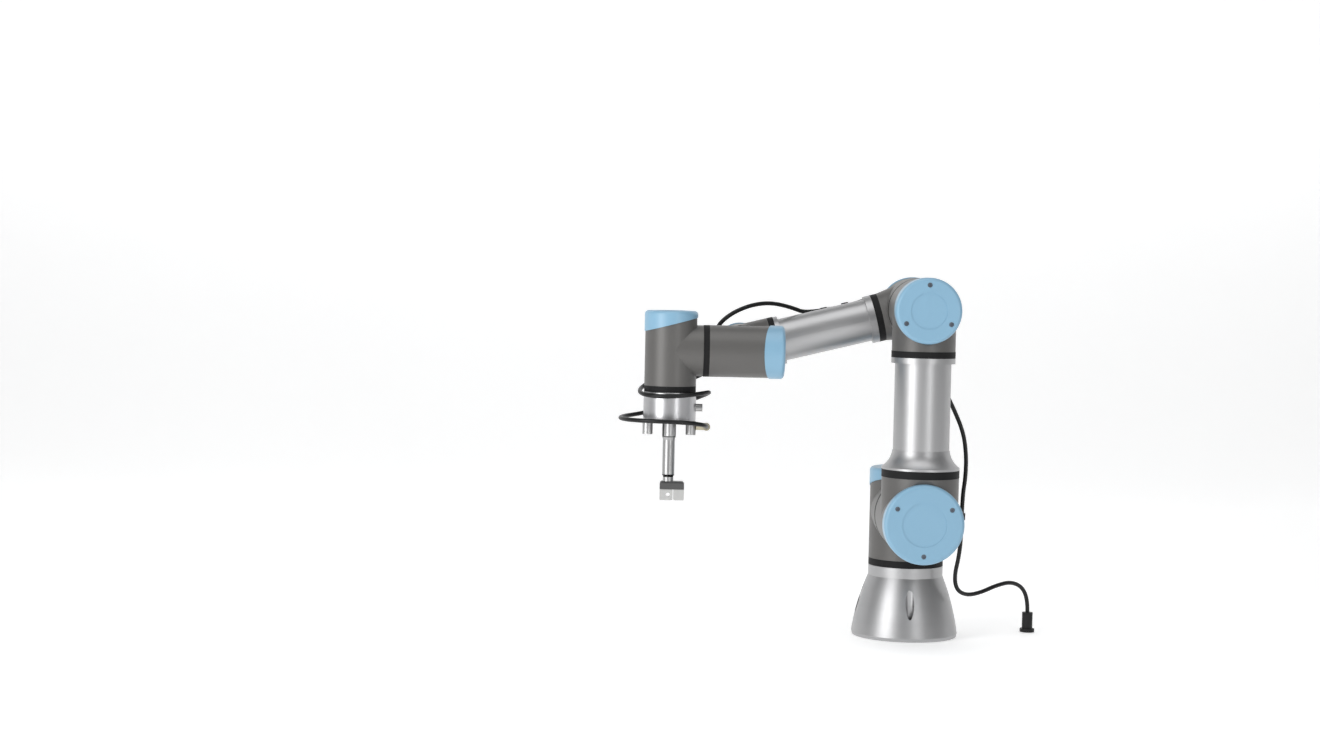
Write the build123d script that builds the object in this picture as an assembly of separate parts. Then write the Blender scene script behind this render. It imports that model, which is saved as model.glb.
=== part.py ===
"""A six-axis collaborative robot arm with a slim two-jaw gripper and its air hose.

Millimetres, +Z up. The origin is the centre of the base's bottom face. At rest the arm reaches
toward -X, and the lids of the shoulder and elbow face -Y.
"""

import math
import os

from build123d import *

# ---- driving dimensions: the chain of joint axes ----
SHOULDER_Z = 151.9  # height of the shoulder axis
SHOULDER_OUT = 119.8  # from the base axis to the plane of the upper arm
UPPER_LEN = 243.65  # shoulder axis to elbow axis
ELBOW_BACK = 92.5  # from the plane of the upper arm back to the forearm's
FOREARM_LEN = 213.25  # elbow axis to first wrist axis
WRIST_OUT = 112.35  # from the base axis to the plane of the wrist
WRIST_LEN = 85.35  # second wrist joint's centre to the tool axis
TOOL_LEN = 81.9  # wrist centre to the face of the tool flange
FOREARM_DIP = 14.2  # degrees that the forearm dips below level at rest

# ---- joint modules, by size: shell radius, output end, lid face, split height, screw ----
WALL = 4.0
SPLIT_SLOPE = 15.0  # degrees that the split between housing and lid is tilted
RING_GAP = 0.3  # running clearance between a seal ring and the link it turns on
LID_PROUD = 1.0  # how far a lid's radius stands out past its housing
SCREW_PITCH = 0.8  # radius of the lid's screw circle, as a share of the housing's radius
SIZES = {
    "large": dict(r=45.0, out=58.0, ring=8.5, face=52.0, split=31.0, spigot=28.0, depth=26.0),
    "medium": dict(r=37.0, out=42.0, ring=8.0, face=44.0, split=26.0, spigot=23.0, depth=20.0),
    "small": dict(r=30.0, out=41.0, ring=7.0, face=46.0, split=30.0, spigot=18.5, depth=18.0),
}

# ---- tubes ----
UPPER_TUBE_R = 32.5
FOREARM_TUBE_R = 25.3
TUBE_WALL = 3.0
FLARE = (51.0, 60.0, 82.0)  # ring start, ring end and flare end, above the shoulder axis
UPPER_END = (47.0, 54.5, 61.0)  # housing end, ring end and collar end, below the elbow axis
FORE_START = (42.0, 50.0, 58.0)  # the same, from the elbow axis along the forearm
FORE_NECK_R = 28.5
WRIST_NECK = (37.5, 44.5)  # housing end and ring end, from the first wrist axis

# ---- base ----
BASE_R = 64.0
BOLT_R = 55.0  # radius of the circle of the four mounting bolts
BOLT_HOLE_R = 3.3
BOLT_HEAD_R = 5.0
FOOT_THICK = 8.0

# ---- gripper, downwards from the wrist centre ----
FLANGE_R = 30.5
POST_R, POST_PITCH, POST_LEN = 6.0, 25.0, 16.0
COLLAR_R, STEM_R = 8.0, 7.1
COLLAR_END, STEM_START, STEM_END, NOSE_END = 100.0, 104.0, 145.0, 152.0
GUIDE_END, JAW_END = 161.0, 174.0
GUIDE_X = (-9.6, 18.6)  # the jaw guide's sides, from the tool axis
JAW_SPLIT = 6.0
JAW_HOLE_R = 2.5
GUIDE_DEPTH = 16.0

# ---- hose ----
HOSE_R = 2.5
CLIP_HOLE_R = 2.7
CLIP_LEN = 8.0

BIG = 400.0
DIP = math.radians(FOREARM_DIP)
ELBOW = Vector(0, -SHOULDER_OUT, SHOULDER_Z + UPPER_LEN)
FORE_Y = ELBOW_BACK - SHOULDER_OUT
ALONG = Vector(-math.cos(DIP), 0, -math.sin(DIP))  # from the elbow to the wrist
WRIST = Vector(0, FORE_Y, ELBOW.Z) + ALONG * FOREARM_LEN
TOOL = Vector(WRIST.X - WRIST_LEN, -WRIST_OUT, WRIST.Z)

FRAMES = {  # each module's own frame: +Z toward its lid, +X toward its side neck
    "shoulder": Plane((0, 0, SHOULDER_Z), x_dir=(0, -1, 0), z_dir=(0, 0, 1)),
    "upper_arm": Plane((0, -SHOULDER_OUT, SHOULDER_Z), x_dir=(0, 0, 1), z_dir=(0, -1, 0)),
    "elbow": Plane(ELBOW, x_dir=(0, 0, -1), z_dir=(0, -1, 0)),
    "forearm": Plane((0, FORE_Y, ELBOW.Z), x_dir=ALONG, z_dir=(0, 1, 0)),
    "wrist_1": Plane(WRIST, x_dir=-ALONG, z_dir=(0, 1, 0)),
    "wrist_2": Plane((WRIST.X, -WRIST_OUT, WRIST.Z), x_dir=(0, 1, 0), z_dir=(1, 0, 0)),
    "wrist_3": Plane(TOOL, x_dir=(1, 0, 0), z_dir=(0, 0, 1)),
}
NODES = {}


def put(name, frame, *solids):
    """Files solids that are drawn in a module's frame under a node's name."""
    where = FRAMES[frame].location if frame else Location()
    NODES[name] = [where * s for s in solids]


def rod(radius, low, high):
    """A round bar along Z between two heights."""
    return Pos(0, 0, low) * Cylinder(radius, high - low, align=(Align.CENTER, Align.CENTER, Align.MIN))


def pipe(outer, inner, low, high):
    return rod(outer, low, high) - rod(inner, low - 1, high + 1)


def along_x(shape):
    """Turns a shape drawn along +Z so that it lies along +X."""
    return Rot(0, 90, 0) * shape


def turned(points, arc=None):
    """A solid of revolution about Z from (radius, height) points; arc gives a curved first side."""
    with BuildSketch(Plane.XZ) as outline:
        with BuildLine():
            if arc:
                ThreePointArc(*arc)
            Polyline(*points)
        make_face()
    return revolve(outline.sketch, Axis.Z)


def above_split(size):
    """Everything above the tilted split, which rises toward the neck."""
    slope = math.radians(SPLIT_SLOPE)
    plane = Plane(
        (0, 0, size["split"]),
        x_dir=(math.cos(slope), 0, math.sin(slope)),
        z_dir=(-math.sin(slope), 0, math.cos(slope)),
    )
    return plane.location * Box(BIG, BIG, BIG, align=(Align.CENTER, Align.CENTER, Align.MIN))


def screw_places(size):
    """Where the lid's three screws stand, and how high the split is there."""
    pitch = SCREW_PITCH * size["r"]
    for angle in (60, 180, 300):
        x, y = pitch * math.cos(math.radians(angle)), pitch * math.sin(math.radians(angle))
        yield x, y, size["split"] + x * math.tan(math.radians(SPLIT_SLOPE))


def housing(size, neck, neck_bore):
    """A cast shell: a round body along Z with a side neck, open at both ends and at the neck."""
    r, out = size["r"], size["out"]
    top = size["face"]
    shell = rod(r, -out, top) + neck
    hollow = rod(r - WALL, -out + WALL, top + 1) + neck_bore
    shell = shell - above_split(size) - hollow - rod(r - 2.2 * WALL, -out - 1, 0)
    lug_r, lug_long, tap_r = 6.5, 14.0, 1.6
    for x, y, z in screw_places(size):
        lug = Pos(x, y, 0) * rod(lug_r, z - lug_long, z + 2 * lug_r)
        lug = (lug & rod(r - 0.5, -out, top)) - above_split(size)
        shell = shell + lug - Pos(x, y, 0) * rod(tap_r, z - lug_long + 2, top)
    return shell


def lid(size):
    """The cap on the back of a joint: a hollow wedge with three screw pillars."""
    r, face, skin, pillar_r = size["r"] + LID_PROUD, size["face"], 3.0, 5.0
    cap = rod(r, 0, face)
    cap = fillet(cap.edges().filter_by(GeomType.CIRCLE).sort_by(Axis.Z)[-1], 4.5)
    cap = cap - rod(r - 2 * skin, -1, face - skin)
    for x, y, _ in screw_places(size):
        cap = cap + (Pos(x, y, 0) * rod(pillar_r, 0, face - 1) & rod(r - skin, 0, face))
        cap = cap - Pos(x, y, 0) * rod(1.7, -1, face + 1)
        cap = cap - Pos(x, y, 0) * rod(2.9, face - 4, face + 1)
    cap = cap - rod(0.55 * r, face - 0.6, face + 1)
    return cap & above_split(size)


def lid_screws(size):
    """Three cap screws, their heads sunk in the lid."""
    head_top = size["face"] - 1
    for x, y, z in screw_places(size):
        head = rod(2.75, head_top - 3, head_top) - rod(1.3, head_top - 1.6, head_top + 1)
        yield Pos(x, y, 0) * (head + rod(1.5, z - 8, head_top - 3))


def seal_ring(size):
    """The black ring between a housing's output end and the next link."""
    inner = size["spigot"] + 3
    return pipe(size["r"], inner, -size["out"] - size["ring"] + RING_GAP, -size["out"])


def spigot(size):
    """The hub that a link pushes into the joint it turns in, in that joint's frame."""
    end = -size["out"] - size["ring"]
    return pipe(size["spigot"], size["spigot"] - 6, end - 1, size["depth"] - size["out"] - 4)


def gear(size):
    """The strain-wave gear and crossed-roller bearing round the next link's hub."""
    start = -size["out"] + WALL
    return pipe(size["r"] - WALL - 0.2, size["spigot"] + 0.4, start, start + size["depth"] - 6)


def motor(size):
    """Frameless motor: stator ring, hollow rotor with its magnet disc, and the drive's board."""
    start = -size["out"] + size["depth"] - 2
    stack = 0.55 * size["r"]
    outer, inner = size["r"] - WALL - 0.6, 0.6 * size["r"]
    stator = pipe(outer, inner, start, start + stack)
    rotor = pipe(inner - 0.6, 6, start + 2.5, start + stack - 1) + pipe(9, 6, start + 1, start + stack + 6)
    board = pipe(outer - 4, 11, start + stack, start + stack + 1.6)
    return stator, rotor, board


def drive(name, size, group_gear):
    """The works of one joint, as one node or as two."""
    stator, rotor, board = motor(size)
    if group_gear:
        put(f"{name}_drive", name, stator, rotor, board, gear(size))
    else:
        put(f"{name}_motor", name, stator, rotor, board)
        put(f"{name}_gear", name, gear(size))


# ---- links ----
def base():
    """The flared foot, with its four bolt holes, and the hub that the shoulder turns on."""
    large = SIZES["large"]
    top = SHOULDER_Z - large["out"] - large["ring"]
    neck_z, neck_r = 73.0, 45.0
    foot = ((BASE_R, 4), (57.6, 36), (neck_r, neck_z))
    body = turned([foot[-1], (neck_r, top), (0, top), (0, 0), (BASE_R - 1, 0), foot[0]], arc=foot)
    hollow = turned([(0, -1), (44, -1), (44, 24), (36, top - 10), (0, top - 10), (0, -1)])
    body = body - hollow - rod(14, 0, top + 1)
    body = body + Pos(0, 0, SHOULDER_Z) * spigot(large)
    for angle in (0, 90, 180, 270):
        at = Rot(0, 0, angle) * Pos(BOLT_R, 0, 0)
        body = body - at * rod(BOLT_HOLE_R, -1, FOOT_THICK + 1) - at * rod(BOLT_HEAD_R, FOOT_THICK, top)
    gland_at = Plane((0, 0, 22), x_dir=(0, 0, 1), z_dir=(1, 1, 0)).location
    body = body - gland_at * rod(8, 30, 80)
    put("base_casting", None, body)
    nut_at, gland_bore = 63.0, 4.0
    nut = extrude(RegularPolygon(9.5, 6), 7) + rod(7, 7, 12) - rod(gland_bore, -1, 13)
    nut = gland_at * Pos(0, 0, nut_at) * nut
    thread = gland_at * pipe(7.8, gland_bore, 42, nut_at)
    put("base_cable_gland", None, nut + thread)


def neck(radius, length, top=None):
    """A side neck along +X, straight or narrowing to the radius top."""
    if top is None:
        return along_x(rod(radius, 0, length))
    return along_x(Pos(0, 0, length / 2) * Cone(radius, top, length))


def shoulder():
    large = SIZES["large"]
    reach = SHOULDER_OUT - large["out"] - large["ring"]
    body = housing(large, neck(large["r"] - 0.5, reach), along_x(rod(28, 0, reach - WALL)))
    hub = FRAMES["upper_arm"].location * spigot(large)
    body = FRAMES["shoulder"].location * body + hub
    body = body - FRAMES["upper_arm"].location * rod(large["spigot"] - 6, -SHOULDER_OUT, 0)
    put("shoulder_housing", None, body)
    put("shoulder_lid", "shoulder", lid(large))
    put("shoulder_lid_screws", "shoulder", *lid_screws(large))
    put("shoulder_seal_ring", "shoulder", seal_ring(large))
    drive("shoulder", large, False)


def upper_arm():
    large, medium = SIZES["large"], SIZES["medium"]
    shell_r, ring_start, ring_end = large["r"], FLARE[0], FLARE[1]
    body = housing(large, neck(shell_r - 0.3, ring_start), along_x(rod(38, 0, ring_start + 1)))
    put("upper_arm_housing", "upper_arm", body)
    put("upper_arm_lid", "upper_arm", lid(large))
    drive("upper_arm", large, False)
    lower_ring = along_x(pipe(shell_r, 38, ring_start, ring_end))
    flare_top = FLARE[2]
    tube_r = UPPER_TUBE_R
    bore = tube_r - TUBE_WALL
    curve = ((shell_r, ring_end + 2.5), (38.5, ring_end + 8.5), (tube_r + 0.6, flare_top))
    flange = turned(
        [curve[-1], (bore, flare_top), (bore, ring_end), (shell_r, ring_end), curve[0]], arc=curve
    )
    put("upper_arm_flange", "upper_arm", along_x(flange))
    tube_end = UPPER_LEN - UPPER_END[2]
    collar_end = UPPER_LEN - UPPER_END[1]
    tube = pipe(tube_r, bore, flare_top, collar_end) + pipe(medium["r"], bore, tube_end, collar_end)
    put("upper_arm_tube", "upper_arm", along_x(tube))
    place = FRAMES["upper_arm"].location
    upper_ring = FRAMES["elbow"].location * along_x(pipe(medium["r"], 30, UPPER_END[0], UPPER_END[1]))
    output = place * seal_ring(large)
    NODES["upper_arm_seal_rings"] = [output, place * lower_ring, upper_ring]
    # the far end: a housing with no drive, whose hub the forearm's joint turns on
    reach = ELBOW_BACK - medium["out"] - medium["ring"]
    end = dict(medium, out=reach)
    shell = housing(end, neck(medium["r"] - 0.3, UPPER_END[0]), along_x(rod(30, 0, UPPER_END[0] + 1)))
    floor = rod(medium["r"] - 1, -reach, -reach + 6) - rod(medium["spigot"] - 6, -reach - 1, 0)
    shell = FRAMES["elbow"].location * (shell + floor) + FRAMES["forearm"].location * spigot(medium)
    put("elbow_housing", None, shell)
    put("elbow_lid", "elbow", lid(medium))
    screws = [place * s for s in lid_screws(large)]
    NODES["upper_arm_lid_screws"] = screws + [FRAMES["elbow"].location * s for s in lid_screws(medium)]


def forearm():
    medium, small = SIZES["medium"], SIZES["small"]
    ring_start, ring_end, collar_end = FORE_START
    taper = neck(medium["r"] - 1, ring_start, FORE_NECK_R)
    body = housing(medium, taper, along_x(rod(23, 0, ring_start + 1)))
    put("forearm_housing", "forearm", body)
    put("forearm_lid", "forearm", lid(medium))
    drive("forearm", medium, False)
    tube_r, bore = FOREARM_TUBE_R, FOREARM_TUBE_R - TUBE_WALL
    end = FOREARM_LEN - WRIST_NECK[1]
    tube = pipe(tube_r, bore, ring_end, end) + pipe(FORE_NECK_R, bore, ring_end, collar_end)
    tube = tube + pipe(small["r"] - 1, bore, end - 5, end)
    put("forearm_tube", "forearm", along_x(tube))
    wrist_neck = neck(small["r"] - 0.5, WRIST_NECK[0])
    put("wrist_1_housing", "wrist_1", housing(small, wrist_neck, along_x(rod(22, 0, WRIST_NECK[0] + 1))))
    put("wrist_1_lid", "wrist_1", lid(small))
    drive("wrist_1", small, True)
    near, far = FRAMES["forearm"].location, FRAMES["wrist_1"].location
    NODES["forearm_seal_rings"] = [
        near * seal_ring(medium),
        near * along_x(pipe(FORE_NECK_R, 22.3, ring_start, ring_end)),
        far * along_x(pipe(small["r"] - 0.5, 22.3, *WRIST_NECK)),
        far * seal_ring(small),
    ]
    NODES["forearm_lid_screws"] = [near * s for s in lid_screws(medium)]
    NODES["forearm_lid_screws"] += [far * s for s in lid_screws(small)]


def wrist(name, joint_before, reach):
    """One of the two last joint modules, whose neck is the hub of the joint before it."""
    small = SIZES["small"]
    floor = along_x(rod(small["r"] - 1, reach - 6, reach))
    body = housing(small, neck(small["r"] - 0.5, reach), along_x(rod(24, 0, reach - WALL))) + floor
    body = FRAMES[name].location * body + FRAMES[joint_before].location * spigot(small)
    passage = FRAMES[joint_before].location * rod(small["spigot"] - 6, -small["out"] - 40, 0)
    put(f"{name}_housing", None, body - passage)
    put(f"{name}_lid", name, lid(small))
    put(f"{name}_lid_screws", name, *lid_screws(small))
    put(f"{name}_seal_ring", name, seal_ring(small))
    drive(name, small, True)


# ---- tool ----
def tool():
    """The tool flange, and the slim gripper that hangs from it. Heights run down from TOOL."""
    small = SIZES["small"]
    top = -small["out"] - small["ring"]
    flange = fillet(rod(FLANGE_R, -TOOL_LEN, top).edges().filter_by(GeomType.CIRCLE), 1.0)
    flange = flange + spigot(small) - rod(small["spigot"] - 6, top - 2, 0)
    flange = flange - rod(COLLAR_R + 0.1, -TOOL_LEN - 1, -TOOL_LEN + 6)
    corners = [Rot(0, 0, a) * Pos(POST_PITCH, 0, 0) for a in (0, 90, 180, 270)]
    for at in corners:
        flange = flange - at * rod(2.6, -TOOL_LEN - 1, -TOOL_LEN + 9)
    socket_z = -66.0
    stub = Pos(0, 0, socket_z) * along_x(pipe(4.5, 3.2, FLANGE_R - 4, FLANGE_R + 7.5))
    pins = Pos(0, 0, socket_z) * along_x(rod(3.2, FLANGE_R - 4, FLANGE_R + 3))
    flange = flange - Pos(0, 0, socket_z) * along_x(rod(4.6, FLANGE_R - 4, FLANGE_R + 9))
    put("tool_flange", "wrist_3", flange)
    put("tool_connector", "wrist_3", stub + pins)
    stud = rod(2.5, -TOOL_LEN, -TOOL_LEN + 8)
    post = fillet(rod(POST_R, -TOOL_LEN - POST_LEN, -TOOL_LEN).edges().filter_by(GeomType.CIRCLE), 0.6)
    put("adapter_posts", "wrist_3", *[at * (post + stud) for at in corners])
    body = turned(
        [
            (0, -TOOL_LEN + 6),
            (COLLAR_R, -TOOL_LEN + 6),
            (COLLAR_R, -COLLAR_END),
            (STEM_R, -STEM_START),
            (STEM_R, -STEM_END),
            (STEM_R - 1, -STEM_END - 1),
            (STEM_R - 1, -NOSE_END),
            (0, -NOSE_END),
            (0, -TOOL_LEN + 6),
        ]
    )
    body = body - rod(2.5, -NOSE_END - 1, -TOOL_LEN + 7)
    groove = Pos(0, -STEM_R, -(STEM_START + STEM_END) / 2) * Box(2.2, 3, STEM_END - STEM_START - 8)
    put("gripper_body", "wrist_3", body - groove)
    wide, middle = GUIDE_X[1] - GUIDE_X[0], sum(GUIDE_X) / 2
    mid_z = -(NOSE_END + GUIDE_END) / 2
    guide = Pos(middle, 0, mid_z) * Box(wide, GUIDE_DEPTH, GUIDE_END - NOSE_END)
    guide = chamfer(guide.edges().group_by(Axis.Z)[-1], 2.0)
    guide = guide - Pos(middle, 0, -GUIDE_END) * Box(wide + 2, 6.0, 8.0)
    put("jaw_guide", "wrist_3", guide)
    elbow_at = Pos(POST_PITCH, 0, -TOOL_LEN - POST_LEN + 10)
    block = elbow_at * along_x(pipe(4.2, 2.0, POST_R, 18))
    outlet = elbow_at * Pos(18.0, 0, 0) * Rot(90, 0, 0) * (rod(4.4, -5, 7) - rod(HOSE_R, 1, 8))
    put("hose_fitting", "wrist_3", block + outlet)


def jaw(name, low, high, hole_x=None):
    """A jaw block, with a tongue that slides in the guide's groove, and a cross hole on one jaw."""
    top, gap = -GUIDE_END - 0.3, 0.3
    middle, wide = (low + high) / 2, high - low
    block = Pos(middle, 0, (top - JAW_END) / 2) * Box(wide, GUIDE_DEPTH - 2, top + JAW_END)
    block = chamfer(block.edges().group_by(Axis.Z)[0], 0.8)
    tongue = Pos(middle, 0, top + 1.6) * Box(wide, 6.0 - 2 * gap, 3.4)
    body = block + tongue
    if hole_x is not None:
        across = rod(JAW_HOLE_R, -GUIDE_DEPTH, GUIDE_DEPTH)
        body = body - Pos(hole_x, 0, (top - JAW_END) / 2) * Rot(90, 0, 0) * across
    put(name, "wrist_3", body)


# ---- hose ----
ROUTES = {  # each stretch of hose crosses one joint; its ends meet the next stretch in a clip
    "base_hose": [
        (157, 40, 22), (157, 40, 38), (149, 33, 56), (132, 20, 64), (112, 6, 61), (91, -9, 54),
        (72, -22, 52), (58, -33, 60), (54, -41, 78), (58, -46, 101), (60, -48, 126), (60, -48, 150),
    ],
    "shoulder_hose": [
        (60, -48, 150), (60, -48, 173), (62, -57, 200), (60, -69, 228), (54, -80, 254),
        (41, -88, 281), (29, -92.5, 303), (29, -92.5, 322),
    ],
    "elbow_hose": [
        (29, -92.5, 322), (29, -92.5, 341), (31, -80, 357), (34, -58, 364), (36, -32, 364),
        (37, -3, 364), (34, 23, 369), (16, 38, 382), (-10, 37, 396), (-33, 23, 405),
        (-50, 6, 408), (-66.5, -8, 401.52), (-82, -8, 397.6),
    ],
    "wrist_1_hose": [
        (-82, -8, 397.6), (-126, -8, 386.47), (-149, -19, 395), (-175, -38, 400),
        (-201, -60, 396), (-226, -76, 384), (-241, -78, 367), (-241, -78, 343.24),
    ],
    "wrist_2_hose": [
        (-241, -78, 343.24), (-241, -78, 331), (-248.5, -77.8, 318), (-261.5, -77.4, 310.5),
        (-276, -77, 308), (-290, -77, 308),
    ],
    "wrist_3_hose": [
        (-290, -77, 308), (-304, -77, 308), (-316, -83, 304), (-325, -97, 299), (-328, -115.5, 294.5),
        (-321.6, -133, 292), (-307.3, -145, 291), (-289, -148.2, 291.5), (-270.3, -143.5, 293),
        (-254, -130.1, 295), (-245.1, -112.4, 295.6), (-250.6, -90.3, 291), (-266.3, -75.5, 284),
        (-288.2, -68.5, 276), (-309.7, -68.8, 270), (-330.7, -77.6, 266), (-346.3, -94.7, 264.5),
        (-349.9, -117.4, 263.8), (-342.4, -139, 263.5), (-325.3, -154.9, 263.5),
        (-305.3, -162, 263.5), (-285, -162.5, 263), (-264, -156, 261.5), (-249.1, -142, 258.5),
        (-249.1, -120, 255.24),
    ],
}


def hose(points):
    """A tube along straight runs and the largest arcs that fit between them."""
    p = [Vector(*q) for q in points]
    radii = []
    for before, here, after in zip(p, p[1:], p[2:]):
        turn = math.radians((here - before).get_angle(after - here))
        run = min((here - before).length, (after - here).length)
        radii.append(0.45 * run / math.tan(turn / 2))
    path = FilletPolyline(*p, radius=radii)
    start = Plane(p[0], z_dir=(p[1] - p[0]))
    tube = sweep(start.location * Circle(HOSE_R), path=path)
    ideal = math.pi * HOSE_R**2 * path.length
    print(f"hose length {path.length:.1f}, least radius {min(radii):.1f}, volume {tube.volume / ideal:.4f}")
    return tube


def clip(at, hole_way, seat_way, stand):
    """A saddle clip: a round eye on a foot that reaches its seat, stand away from the hole."""
    frame = Plane(at, x_dir=hole_way, z_dir=-Vector(*seat_way))
    eye = along_x(rod(CLIP_HOLE_R + 1.3, -CLIP_LEN / 2, CLIP_LEN / 2))
    foot = Pos(0, 0, -stand / 2) * Box(CLIP_LEN, 7.0, stand)
    return frame.location * (eye + foot - along_x(rod(CLIP_HOLE_R, -CLIP_LEN, CLIP_LEN)))


def hoses():
    for name, points in ROUTES.items():
        put(name, None, hose(points))
    plug_x, plug_y, plug_top = ROUTES["base_hose"][0]
    plug = rod(9, 0, 4) + rod(6.5, 4, plug_top + 2) - rod(HOSE_R + 0.2, plug_top, plug_top + 3)
    put("supply_connector", None, Pos(plug_x, plug_y, 0) * (plug - rod(1.4, -1, plug_top + 3)))
    at = ROUTES["shoulder_hose"][0]
    seat = SIZES["large"]["r"] - 0.5
    put("shoulder_hose_clip", None, clip(at, (0, 0, 1), (-1, 0, 0), at[0] - seat))
    at = ROUTES["elbow_hose"][0]
    out = Vector(at[0], at[1] + SHOULDER_OUT, 0)
    put("upper_arm_hose_clip", None, clip(at, (0, 0, 1), -out, out.length - UPPER_TUBE_R))
    first = Vector(*ROUTES["wrist_1_hose"][0])
    from_elbow = first - Vector(0, FORE_Y, ELBOW.Z)
    out = from_elbow - ALONG * from_elbow.dot(ALONG)
    stand = out.length - FOREARM_TUBE_R
    clips = [clip(first + ALONG * step, ALONG, -out, stand) for step in (0, 26)]
    put("forearm_hose_clips", None, *clips)
    small_r = SIZES["small"]["r"]
    at = ROUTES["wrist_2_hose"][0]
    put("wrist_2_hose_clip", None, clip(at, (0, 0, 1), (0, -1, 0), at[1] + WRIST_OUT - small_r))
    at = ROUTES["wrist_3_hose"][0]
    put("wrist_3_hose_clip", None, clip(at, (1, 0, 0), (0, -1, 0), at[1] + WRIST_OUT - small_r))


def main():
    base()
    shoulder()
    upper_arm()
    forearm()
    small = SIZES["small"]
    wrist("wrist_2", "wrist_1", WRIST_OUT + FORE_Y - small["out"] - small["ring"])
    wrist("wrist_3", "wrist_2", WRIST_LEN - small["out"] - small["ring"])
    tool()
    jaw("jaw_left", GUIDE_X[0], JAW_SPLIT - 0.5, 0.0)
    jaw("jaw_right", JAW_SPLIT + 0.5, GUIDE_X[1])
    hoses()
    os.makedirs("parts", exist_ok=True)
    for name, solids in NODES.items():
        export_step(Compound(children=[s for part in solids for s in part.solids()]), f"parts/{name}.step")
    print(len(NODES), "nodes")


main()
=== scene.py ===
"""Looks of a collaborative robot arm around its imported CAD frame.

Lengths are in metres and angles in radians, unless a name says otherwise.
"""

import math

import bpy
from mathutils import Matrix, Vector


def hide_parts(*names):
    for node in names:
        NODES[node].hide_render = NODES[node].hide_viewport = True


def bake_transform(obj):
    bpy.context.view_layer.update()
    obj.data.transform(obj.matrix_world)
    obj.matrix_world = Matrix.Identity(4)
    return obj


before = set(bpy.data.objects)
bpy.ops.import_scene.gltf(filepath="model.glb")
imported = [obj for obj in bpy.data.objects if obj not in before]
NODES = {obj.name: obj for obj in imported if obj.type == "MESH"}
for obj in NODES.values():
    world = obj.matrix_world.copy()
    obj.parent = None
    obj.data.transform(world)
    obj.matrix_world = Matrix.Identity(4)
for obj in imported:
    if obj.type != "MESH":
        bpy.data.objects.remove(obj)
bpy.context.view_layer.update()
HOSE_R = 0.0025

# ---- camera ----
CAMERA_PLACE = (-0.33065, -2.73236, 0.43315)
CAMERA_YAW = math.radians(0.58)
CAMERA_PITCH = math.radians(2.5)
CAMERA_ROLL = math.radians(1.24)
SENSOR_MM, FOCAL_MM = 36.0, 61.73
CLIP_NEAR, CLIP_FAR = 0.05, 50


def link(name, data):
    """A new object in the scene, holding the data."""
    made = bpy.data.objects.new(name, data)
    bpy.context.scene.collection.objects.link(made)
    return made


def camera():
    ahead = Vector((
        math.sin(CAMERA_YAW) * math.cos(CAMERA_PITCH),
        math.cos(CAMERA_YAW) * math.cos(CAMERA_PITCH),
        -math.sin(CAMERA_PITCH),
    ))
    right = Vector((math.cos(CAMERA_YAW), -math.sin(CAMERA_YAW), 0))
    up = right.cross(ahead)
    rolled_right = right * math.cos(CAMERA_ROLL) + up * math.sin(CAMERA_ROLL)
    rolled_up = up * math.cos(CAMERA_ROLL) - right * math.sin(CAMERA_ROLL)
    data = bpy.data.cameras.new("camera")
    data.sensor_fit = "HORIZONTAL"
    data.sensor_width = SENSOR_MM
    data.lens = FOCAL_MM
    data.clip_start = CLIP_NEAR
    data.clip_end = CLIP_FAR
    view = link("camera", data)
    turn = Matrix((rolled_right, rolled_up, -ahead)).transposed().to_4x4()
    view.matrix_world = Matrix.Translation(CAMERA_PLACE) @ turn
    bpy.context.scene.camera = view


# ---- hose routes, in millimetres, each beginning where the one before ends ----
ROUTES = {
    "base_hose": [
        (157, 40, 22), (157, 40, 38), (149, 33, 56), (132, 20, 64), (112, 6, 61), (91, -9, 54),
        (72, -22, 52), (58, -33, 60), (54, -41, 78), (58, -46, 101), (60, -48, 126), (60, -48, 150),
    ],
    "shoulder_hose": [
        (60, -48, 150), (60, -48, 173), (62, -57, 200), (60, -69, 228), (54, -80, 254),
        (41, -88, 281), (29, -92.5, 303), (29, -92.5, 322),
    ],
    "elbow_hose": [
        (29, -92.5, 322), (29, -92.5, 341), (31, -80, 357), (34, -58, 364), (36, -32, 364),
        (37, -3, 364), (34, 23, 369), (16, 38, 382), (-10, 37, 396), (-33, 23, 405),
        (-50, 6, 408), (-66.5, -8, 401.52), (-82, -8, 397.6),
    ],
    "wrist_1_hose": [
        (-82, -8, 397.6), (-126, -8, 386.47), (-149, -19, 395), (-175, -38, 400),
        (-201, -60, 396), (-226, -76, 384), (-241, -78, 367), (-241, -78, 343.24),
    ],
    "wrist_2_hose": [
        (-241, -78, 343.24), (-241, -78, 331), (-248.5, -77.8, 318), (-261.5, -77.4, 310.5),
        (-276, -77, 308), (-290, -77, 308),
    ],
    "wrist_3_hose": [
        (-290, -77, 308), (-304, -77, 308), (-316, -83, 304), (-325, -97, 299),
        (-328, -115.5, 294.5), (-321.6, -133, 292), (-307.3, -145, 291), (-289, -148.2, 291.5),
        (-270.3, -143.5, 293), (-254, -130.1, 295), (-245.1, -112.4, 295.6), (-250.6, -90.3, 291),
        (-266.3, -75.5, 284), (-288.2, -68.5, 276), (-309.7, -68.8, 270), (-330.7, -77.6, 266),
        (-346.3, -94.7, 264.5), (-349.9, -117.4, 263.8), (-342.4, -139, 263.5),
        (-325.3, -154.9, 263.5), (-305.3, -162, 263.5), (-285, -162.5, 263), (-264, -156, 261.5),
        (-249.1, -142, 258.5), (-249.1, -120, 255.24),
    ],
}
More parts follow.
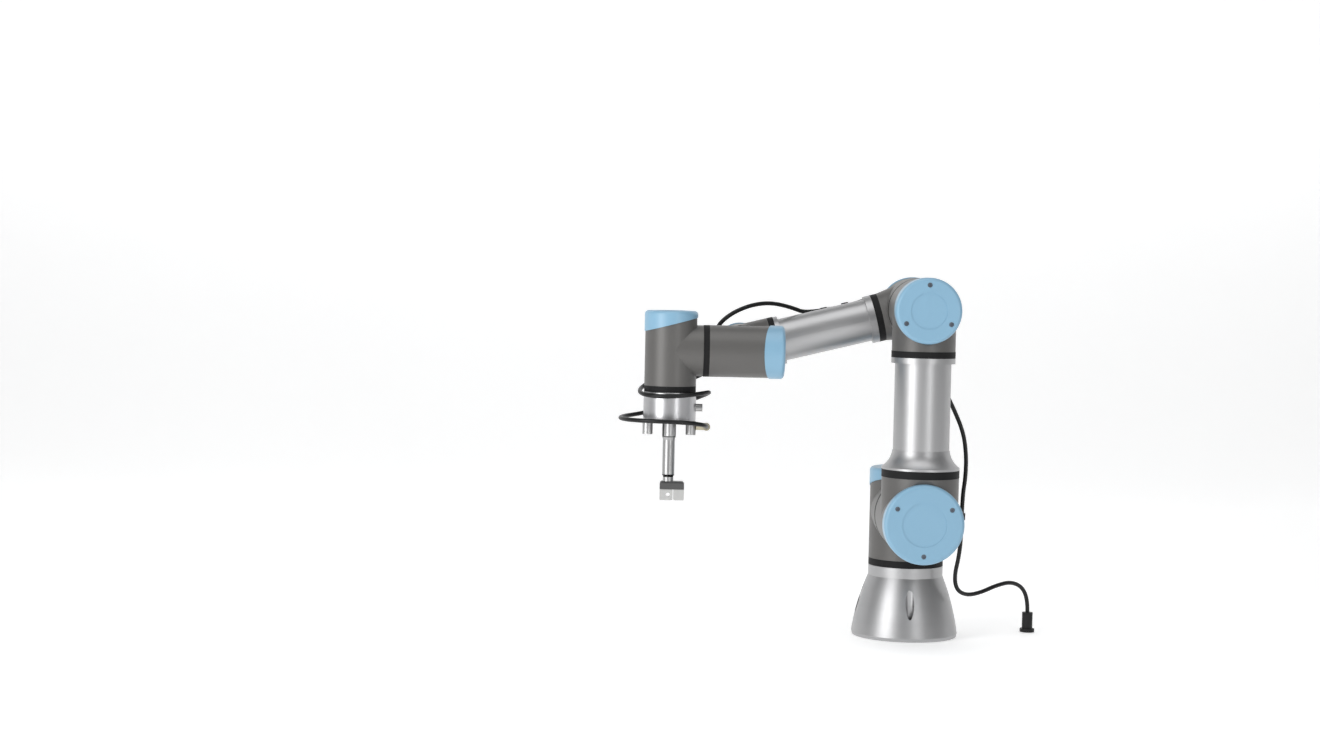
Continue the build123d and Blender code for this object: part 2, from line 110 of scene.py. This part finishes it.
MM_PER_M = 1000
CURVE_STEPS = 10  # points on the smooth line for each point of the route
CURVE_ORDER = 3
HOSE_SIDES = 20


def centreline(name, route):
    """Evenly smooth points along a route."""
    data = bpy.data.curves.new(name + "_line", "CURVE")
    data.dimensions = "3D"
    data.resolution_u = CURVE_STEPS
    line = data.splines.new("NURBS")
    line.points.add(len(route) - 1)
    for point, place in zip(line.points, route):
        point.co = (*(v / MM_PER_M for v in place), 1)
    line.order_u = CURVE_ORDER
    line.use_endpoint_u = True
    holder = link(name + "_line", data)
    bpy.context.view_layer.update()
    mesh = bpy.data.meshes.new_from_object(holder)
    points = [v.co.copy() for v in mesh.vertices]
    bpy.data.objects.remove(holder)
    bpy.data.meshes.remove(mesh)
    return points


def tube(name, points, radius, sides):
    """A closed mesh tube whose rings are centred on the points."""
    verts, faces = [], []
    last = len(points) - 1
    along = [(points[min(i + 1, last)] - points[max(i - 1, 0)]).normalized() for i in range(last + 1)]
    side = along[0].orthogonal().normalized()
    for here, way in zip(points, along):
        side = (side - way * side.dot(way)).normalized()
        other = way.cross(side)
        for k in range(sides):
            a = 2 * math.pi * k / sides
            verts.append(here + (side * math.cos(a) + other * math.sin(a)) * radius)
    for i in range(last):
        for k in range(sides):
            a = i * sides + k
            b = i * sides + (k + 1) % sides
            faces.append((a, b, b + sides, a + sides))
    faces.append(tuple(reversed(range(sides))))
    faces.append(tuple(range(len(verts) - sides, len(verts))))
    mesh = bpy.data.meshes.new(name)
    mesh.from_pydata(verts, [], faces)
    for face in mesh.polygons:
        face.use_smooth = len(face.vertices) == 4  # the two end caps stay flat
    return link(name, mesh)


# ---- materials ----
COAT_ROUGHNESS = 0.25
BROAD_NOISE = 28  # scale of the slow colour variation
ROUGHNESS_SPREAD = 0.15
BUMP_HEIGHT = 0.0002
MIX_FACTOR, MIX_FIRST, MIX_SECOND, MIX_RESULT = 0, 6, 7, 2  # a colour mix node's sockets


def material(name, colour, metal, rough, grain=(1, 1, 1), scale=600, bump=0.1, vary=0.06,
             turn=0.0, coat=0.0, gloss=0.5):
    """A surface with grain, colour variation and uneven roughness, all in the object's own coordinates."""
    made = bpy.data.materials.new(name)
    made.use_nodes = True
    tree = made.node_tree
    shader = tree.nodes["Principled BSDF"]
    shader.inputs["Metallic"].default_value = metal
    shader.inputs["Coat Weight"].default_value = coat
    shader.inputs["Specular IOR Level"].default_value = gloss
    shader.inputs["Coat Roughness"].default_value = COAT_ROUGHNESS
    place = tree.nodes.new("ShaderNodeTexCoord")
    mapping = tree.nodes.new("ShaderNodeMapping")
    mapping.inputs["Rotation"].default_value = (0, turn, 0)
    mapping.inputs["Scale"].default_value = grain
    tree.links.new(place.outputs["Object"], mapping.inputs["Vector"])

    def noise(size, detail):
        node = tree.nodes.new("ShaderNodeTexNoise")
        node.inputs["Scale"].default_value = size
        node.inputs["Detail"].default_value = detail
        tree.links.new(mapping.outputs["Vector"], node.inputs["Vector"])
        return node.outputs["Fac"]

    fine = noise(scale, detail=3)
    broad = noise(BROAD_NOISE, detail=4)
    mix = tree.nodes.new("ShaderNodeMix")
    mix.data_type = "RGBA"
    mix.inputs[MIX_FIRST].default_value = (*(c * (1 - vary) for c in colour), 1)
    mix.inputs[MIX_SECOND].default_value = (*(min(1, c * (1 + vary)) for c in colour), 1)
    tree.links.new(broad, mix.inputs[MIX_FACTOR])
    tree.links.new(mix.outputs[MIX_RESULT], shader.inputs["Base Color"])
    spread = tree.nodes.new("ShaderNodeMapRange")
    spread.inputs["To Min"].default_value = rough * (1 - ROUGHNESS_SPREAD)
    spread.inputs["To Max"].default_value = rough * (1 + ROUGHNESS_SPREAD)
    tree.links.new(fine, spread.inputs["Value"])
    tree.links.new(spread.outputs["Result"], shader.inputs["Roughness"])
    relief = tree.nodes.new("ShaderNodeBump")
    relief.inputs["Strength"].default_value = bump
    relief.inputs["Distance"].default_value = BUMP_HEIGHT
    tree.links.new(fine, relief.inputs["Height"])
    tree.links.new(relief.outputs["Normal"], shader.inputs["Normal"])
    return made


def band(made, low, high, colour):
    """Gives a material another colour between two heights."""
    tree = made.node_tree
    shader = tree.nodes["Principled BSDF"]
    was = shader.inputs["Base Color"].links[0].from_socket
    place = tree.nodes.new("ShaderNodeTexCoord")
    split = tree.nodes.new("ShaderNodeSeparateXYZ")
    tree.links.new(place.outputs["Object"], split.inputs["Vector"])
    above, below, both = (tree.nodes.new("ShaderNodeMath") for _ in range(3))
    above.operation = "GREATER_THAN"
    below.operation = "LESS_THAN"
    both.operation = "MULTIPLY"
    above.inputs[1].default_value = low
    below.inputs[1].default_value = high
    tree.links.new(split.outputs["Z"], above.inputs[0])
    tree.links.new(split.outputs["Z"], below.inputs[0])
    tree.links.new(above.outputs[0], both.inputs[0])
    tree.links.new(below.outputs[0], both.inputs[1])
    mix = tree.nodes.new("ShaderNodeMix")
    mix.data_type = "RGBA"
    mix.inputs[MIX_SECOND].default_value = (*colour, 1)
    tree.links.new(both.outputs[0], mix.inputs[MIX_FACTOR])
    tree.links.new(was, mix.inputs[MIX_FIRST])
    tree.links.new(mix.outputs[MIX_RESULT], shader.inputs["Base Color"])


FOREARM_SLOPE = math.radians(14.2)  # turns the grain to run along the tube
ALUMINIUM = (0.44, 0.44, 0.445)
TURNED_ALUMINIUM = (0.50, 0.50, 0.51)
STEEL = (0.46, 0.46, 0.46)
STEM_STEEL = (0.40, 0.40, 0.40)
GUIDE_STEEL = (0.13, 0.13, 0.13)
JAW_STEEL = (0.62, 0.62, 0.61)
ZINC = (0.14, 0.16, 0.19)
BRASS = (0.48, 0.44, 0.33)
HIDDEN = (0.35, 0.33, 0.31)
GREY_COAT = (0.115, 0.112, 0.108)
LID_BLUE = (0.215, 0.395, 0.54)
SEAL_BLACK = (0.009, 0.009, 0.0095)
NYLON_BLACK = (0.014, 0.014, 0.015)
HOSE_BLACK = (0.008, 0.008, 0.0085)
LOOKS = {
    "cast": material(
        "satin_aluminium_turned", ALUMINIUM, metal=1, rough=0.42, grain=(0.15, 0.15, 2.5), scale=900,
        bump=0.10),
    "upper": material(
        "satin_aluminium_upright", ALUMINIUM, metal=1, rough=0.40, grain=(2.5, 2.5, 0.06), scale=900,
        bump=0.10),
    "fore": material(
        "satin_aluminium_lengthwise", ALUMINIUM, metal=1, rough=0.40, grain=(0.06, 2.5, 2.5), scale=900,
        bump=0.10, turn=-FOREARM_SLOPE),
    "turned": material(
        "turned_aluminium", TURNED_ALUMINIUM, metal=1, rough=0.30, grain=(0.15, 0.15, 3), scale=1100,
        bump=0.12),
    "housing": material(
        "grey_powder_coat", GREY_COAT, metal=0.25, rough=0.42, scale=1400, bump=0.22, vary=0.05),
    "lid": material(
        "blue_lid_plastic", LID_BLUE, metal=0, rough=0.38, scale=1800, bump=0.12, vary=0.03, coat=0.15),
    "seal": material(
        "black_seal_rubber", SEAL_BLACK, metal=0, rough=0.62, scale=1500, bump=0.25, vary=0.15, gloss=0.2),
    "nylon": material(
        "black_nylon", NYLON_BLACK, metal=0, rough=0.45, scale=1500, bump=0.2, vary=0.1, gloss=0.25),
    "hose": material(
        "black_hose", HOSE_BLACK, metal=0, rough=0.35, scale=1200, bump=0.08, vary=0.1, gloss=0.3),
    "screw": material("dark_zinc_screws", ZINC, metal=1, rough=0.38, scale=1200, bump=0.15),
    "steel": material("machined_steel", STEEL, metal=1, rough=0.32, grain=(1, 1, 0.2), scale=1200, bump=0.04),
    "guide": material(
        "dark_guide_steel", GUIDE_STEEL, metal=1, rough=0.38, grain=(0.3, 1, 1.5), scale=1200, bump=0.05),
    "stem": material(
        "stem_steel", STEM_STEEL, metal=1, rough=0.30, grain=(2, 2, 0.1), scale=1200, bump=0.02),
    "jaw": material(
        "ground_jaw_steel", JAW_STEEL, metal=1, rough=0.36, grain=(0.3, 1, 1.5), scale=1300, bump=0.05),
    "brass": material("dulled_brass", BRASS, metal=1, rough=0.34, scale=900, bump=0.12, vary=0.12),
    "works": material("hidden_works", HIDDEN, metal=1, rough=0.45, scale=700, bump=0.1),
}
band(LOOKS["stem"], low=0.1962, high=0.1992, colour=(0.01, 0.01, 0.01))
band(LOOKS["stem"], low=0.2425, high=0.2620, colour=(0.09, 0.09, 0.09))

LOOK_OF_NODE = {
    "base_casting": "cast",
    "upper_arm_flange": "cast",
    "upper_arm_tube": "upper",
    "forearm_tube": "fore",
    "tool_flange": "turned",
    "gripper_body": "stem",
    "hose_fitting": "brass",
    "jaw_left": "jaw",
    "jaw_right": "jaw",
    "adapter_posts": "steel",
    "tool_connector": "steel",
    "jaw_guide": "guide",
    "base_cable_gland": "nylon",
    "supply_connector": "nylon",
}
# Tried in this order, because a hose clip's name also holds "_hose".
LOOK_OF_WORD = (
    ("screws", "screw"),
    ("seal_ring", "seal"),
    ("hose_clip", "nylon"),
    ("_hose", "hose"),
    ("_lid", "lid"),
    ("_housing", "housing"),
)


def look_of(node):
    """The look of a CAD node; motors, gears and drives are the hidden works."""
    if node in LOOK_OF_NODE:
        return LOOK_OF_NODE[node]
    for word, look in LOOK_OF_WORD:
        if word in node:
            return look
    return "works"


# ---- the arm ----
camera()
for name, route in ROUTES.items():
    points = centreline(name, route)
    piece = tube(name + "_look", points, HOSE_R, HOSE_SIDES)
    piece.data.materials.append(LOOKS["hose"])
    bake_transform(piece)
    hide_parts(name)

for name, node in NODES.items():
    node.data.materials.clear()
    node.data.materials.append(LOOKS[look_of(name)])

# ---- stage and light ----
FLOOR_FRONT, FLOOR_SIDE = -14.0, 14
BEND_START, BEND_R, BEND_PARTS = 1.6, 0.8, 10  # the quarter circle between floor and wall
WALL_TOP = 4.0
FLOOR_GAP = 0.0006  # holds the floor just below the foot
FLOOR_WHITE = (0.86, 0.86, 0.86)
FLOOR_GLOW = 0.42
LIGHTS_AIM = (-0.12, -0.05, 0.24)
WORLD_COLOUR = (0.95, 0.96, 0.97, 1)
WORLD_STRENGTH = 0.26


def stage():
    """A white floor that curves up into a wall behind the arm."""
    turns = [math.radians(90 * k / BEND_PARTS) for k in range(1, BEND_PARTS + 1)]
    profile = [(FLOOR_FRONT, 0.0), (BEND_START, 0.0)]
    profile += [(BEND_START + BEND_R * math.sin(a), BEND_R - BEND_R * math.cos(a)) for a in turns]
    profile.append((BEND_START + BEND_R, WALL_TOP))
    verts = [(x, y, z - FLOOR_GAP) for y, z in profile for x in (-FLOOR_SIDE, FLOOR_SIDE)]
    faces = [(2 * i, 2 * i + 1, 2 * i + 3, 2 * i + 2) for i in range(len(profile) - 1)]
    mesh = bpy.data.meshes.new("floor")
    mesh.from_pydata(verts, [], faces)
    for face in mesh.polygons:
        face.use_smooth = True
    floor = link("floor", mesh)
    pale = material("pale_floor", FLOOR_WHITE, metal=0, rough=0.7, scale=300, bump=0.02, vary=0.01)
    shader = pale.node_tree.nodes["Principled BSDF"]
    shader.inputs["Emission Color"].default_value = (1, 1, 1, 1)
    shader.inputs["Emission Strength"].default_value = FLOOR_GLOW
    mesh.materials.append(pale)


def softbox(name, place, wide, tall, watts):
    """A rectangular light turned towards the middle of the arm."""
    data = bpy.data.lights.new(name, "AREA")
    data.shape = "RECTANGLE"
    data.size = wide
    data.size_y = tall
    data.energy = watts
    lamp = link(name, data)
    lamp.location = place
    aim = Vector(LIGHTS_AIM) - Vector(place)
    lamp.rotation_euler = aim.to_track_quat("-Z", "Y").to_euler()


stage()
softbox("left_strip", (-1.65, -1.45, 0.6), wide=1.0, tall=1.8, watts=27)
softbox("right_strip", (0.75, -1.9, 0.6), wide=0.25, tall=1.8, watts=7)
softbox("top", (-0.2, -0.6, 2.1), wide=2.0, tall=1.6, watts=15)
world = bpy.data.worlds.new("studio")
bpy.context.scene.world = world
world.use_nodes = True
world.node_tree.nodes["Background"].inputs["Color"].default_value = WORLD_COLOUR
world.node_tree.nodes["Background"].inputs["Strength"].default_value = WORLD_STRENGTH
bpy.context.scene.view_settings.view_transform = "Standard"
